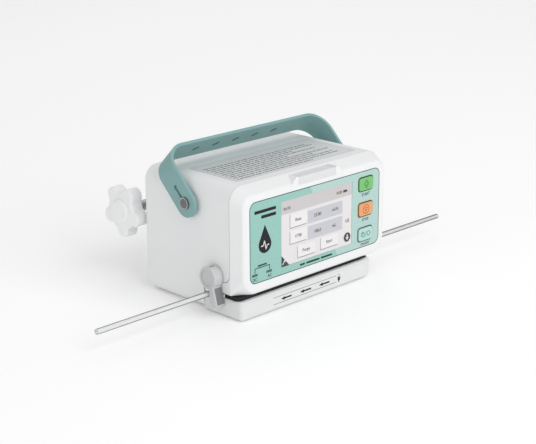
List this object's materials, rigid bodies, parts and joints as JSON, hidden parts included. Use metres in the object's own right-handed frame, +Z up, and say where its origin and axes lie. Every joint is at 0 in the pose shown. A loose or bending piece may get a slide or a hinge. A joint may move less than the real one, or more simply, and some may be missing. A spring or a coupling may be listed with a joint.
{
  "type": "infusion pump",
  "caption": "Compact infusion pump with a side-lever tube door, screen, keys, alarm lamp, strap handle, pole clamp and a clear tube through its pumping channel.",
  "frame": {"origin": "centre of the casing's base, on the plane it stands on", "axes": "+X right seen from the front, +Y towards the back, +Z up; the screen faces -Y"},
  "size_m": [0.345, 0.1402, 0.1107],
  "materials": {
    "housing_white": "fine satin moulding",
    "knob_white": "satin moulding",
    "steel": "brushed",
    "black_rubber": "matt",
    "black_plastic": "fine matt",
    "label_film": "satin printed film",
    "overlay_teal": "satin printed film",
    "screen_glass": "clear, polished",
    "display_panel": "lit screen",
    "key_green": "satin",
    "key_orange": "satin",
    "key_teal": "satin",
    "circuit_green": "soldermask",
    "light_pipe": "clear",
    "lamp_white": "translucent",
    "battery_wrap": "heat-shrink",
    "brass": "turned",
    "frame_aluminium": "milled",
    "clamp_aluminium": "cast, bead blasted",
    "motor_steel": "plated",
    "tube_clear": "clear soft vinyl",
    "lever_grey": "satin",
    "finger_white": "low-friction plastic",
    "strap_teal": "satin flexible strap"
  },
  "bodies": {
    "casing": {"ac_inlet": "black_plastic", "air_sensor": "black_plastic", "alarm_lamp_lens": "lamp_white", "battery_cover": "housing_white", "battery_pack": "battery_wrap", "bracket_screws": "steel", "cam_bearings": "brass", "casing_screws": "steel", "clamp_bracket": "clamp_aluminium", "dc_jack": "black_plastic", "display_module": "display_panel", "finger_guide": "black_plastic", "front_bezel": "housing_white", "handle_bushes": "housing_white", "handle_rivets": "steel", "hinge_pins": "steel", "infusion_tube": "tube_clear", "jaw_pad": "black_rubber", "key_board": "circuit_green", "lamp_board": "circuit_green", "led_board": "circuit_green", "led_light_pipes": "light_pipe", "lever_bush": "brass", "main_board": "circuit_green", "mechanism_frame": "frame_aluminium", "membrane_overlay": "overlay_teal", "motor_bracket": "frame_aluminium", "power_board": "circuit_green", "pressure_sensor": "black_plastic", "rear_feet": "black_rubber", "rear_housing": "housing_white", "screen_lens": "screen_glass", "speaker": "black_plastic", "stepper_motor": "motor_steel", "top_label": "label_film"},
    "tube_door": {"tube_door": "housing_white", "door_platen": "black_rubber", "door_catch": "steel", "front_feet": "black_rubber"},
    "lever": {"door_lever": "lever_grey", "lever_shaft": "steel", "latch_cam": "steel"},
    "handle": {"handle_strap": "strap_teal"},
    "start_key": {"key_start": "key_green"},
    "stop_key": {"key_stop": "key_orange"},
    "power_key": {"key_power": "key_teal"},
    "camshaft": {"camshaft": "steel", "cam_gear": "brass"},
    "motor_rotor": {"motor_pinion": "brass"},
    "clamp_shoe": {"clamp_shoe": "black_plastic"},
    "clamp_knob": {"clamp_screw": "steel", "star_knob": "knob_white", "knob_cap": "knob_white"},
    "finger_1": {"finger_1": "finger_white"},
    "finger_2": {"finger_2": "finger_white"},
    "finger_3": {"finger_3": "finger_white"},
    "finger_4": {"finger_4": "finger_white"},
    "finger_5": {"finger_5": "finger_white"},
    "finger_6": {"finger_6": "finger_white"}
  },
  "joints": [
    {"name": "door_hinge", "type": "hinge", "parent": "casing", "child": "tube_door", "pos_m": [0, -0.0165, 0.004], "axis": [1, 0, 0], "range_deg": [0, 30]},
    {"name": "lever_turn", "type": "hinge", "parent": "casing", "child": "lever", "pos_m": [-0.0798, -0.0237, 0.0283], "axis": [-1, 0, 0], "range_deg": [0, 90]},
    {"name": "handle_swing", "type": "hinge", "parent": "casing", "child": "handle", "pos_m": [0, 0.0009, 0.0753], "axis": [1, 0, 0], "range_deg": [0, 90]},
    {"name": "clamp_travel", "type": "slide", "parent": "casing", "child": "clamp_shoe", "axis": [1, 0, 0], "range_m": [-0.006, 0.014]},
    {"name": "knob_turn", "type": "hinge", "parent": "clamp_shoe", "child": "clamp_knob", "pos_m": [-0.074, 0.072, 0.0543], "axis": [1, 0, 0], "range_deg": [-720, 1680]},
    {"name": "start_press", "type": "slide", "parent": "casing", "child": "start_key", "axis": [0, 1, 0], "range_m": [0, 0.0006], "stiffness_N_per_m": 800},
    {"name": "stop_press", "type": "slide", "parent": "casing", "child": "stop_key", "axis": [0, 1, 0], "range_m": [0, 0.0006], "stiffness_N_per_m": 800},
    {"name": "power_press", "type": "slide", "parent": "casing", "child": "power_key", "axis": [0, 1, 0], "range_m": [0, 0.0006], "stiffness_N_per_m": 800},
    {"name": "cam_turn", "type": "hinge", "parent": "casing", "child": "camshaft", "pos_m": [0, -0.0227, 0.038], "axis": [1, 0, 0], "continuous": true},
    {"name": "pinion_turn", "type": "hinge", "parent": "casing", "child": "motor_rotor", "pos_m": [0.0175, -0.0227, 0.0532], "axis": [1, 0, 0], "continuous": true},
    {"name": "finger_1_press", "type": "slide", "parent": "casing", "child": "finger_1", "axis": [0, 0, -1], "range_m": [0, 0.001], "stiffness_N_per_m": 400},
    {"name": "finger_2_press", "type": "slide", "parent": "casing", "child": "finger_2", "axis": [0, 0, -1], "range_m": [0, 0.001], "stiffness_N_per_m": 400},
    {"name": "finger_3_press", "type": "slide", "parent": "casing", "child": "finger_3", "axis": [0, 0, -1], "range_m": [0, 0.001], "stiffness_N_per_m": 400},
    {"name": "finger_4_press", "type": "slide", "parent": "casing", "child": "finger_4", "axis": [0, 0, -1], "range_m": [0, 0.001], "stiffness_N_per_m": 400},
    {"name": "finger_5_press", "type": "slide", "parent": "casing", "child": "finger_5", "axis": [0, 0, -1], "range_m": [0, 0.001], "stiffness_N_per_m": 400},
    {"name": "finger_6_press", "type": "slide", "parent": "casing", "child": "finger_6", "axis": [0, 0, -1], "range_m": [0, 0.001], "stiffness_N_per_m": 400}
  ],
  "couplings": [
    {"joint": "door_hinge", "follows": "lever_turn", "ratio": 0.33333},
    {"joint": "knob_turn", "follows": "clamp_travel", "rad_per_m": 2094.4},
    {"joint": "pinion_turn", "follows": "cam_turn", "ratio": -2.3077}
  ]
}
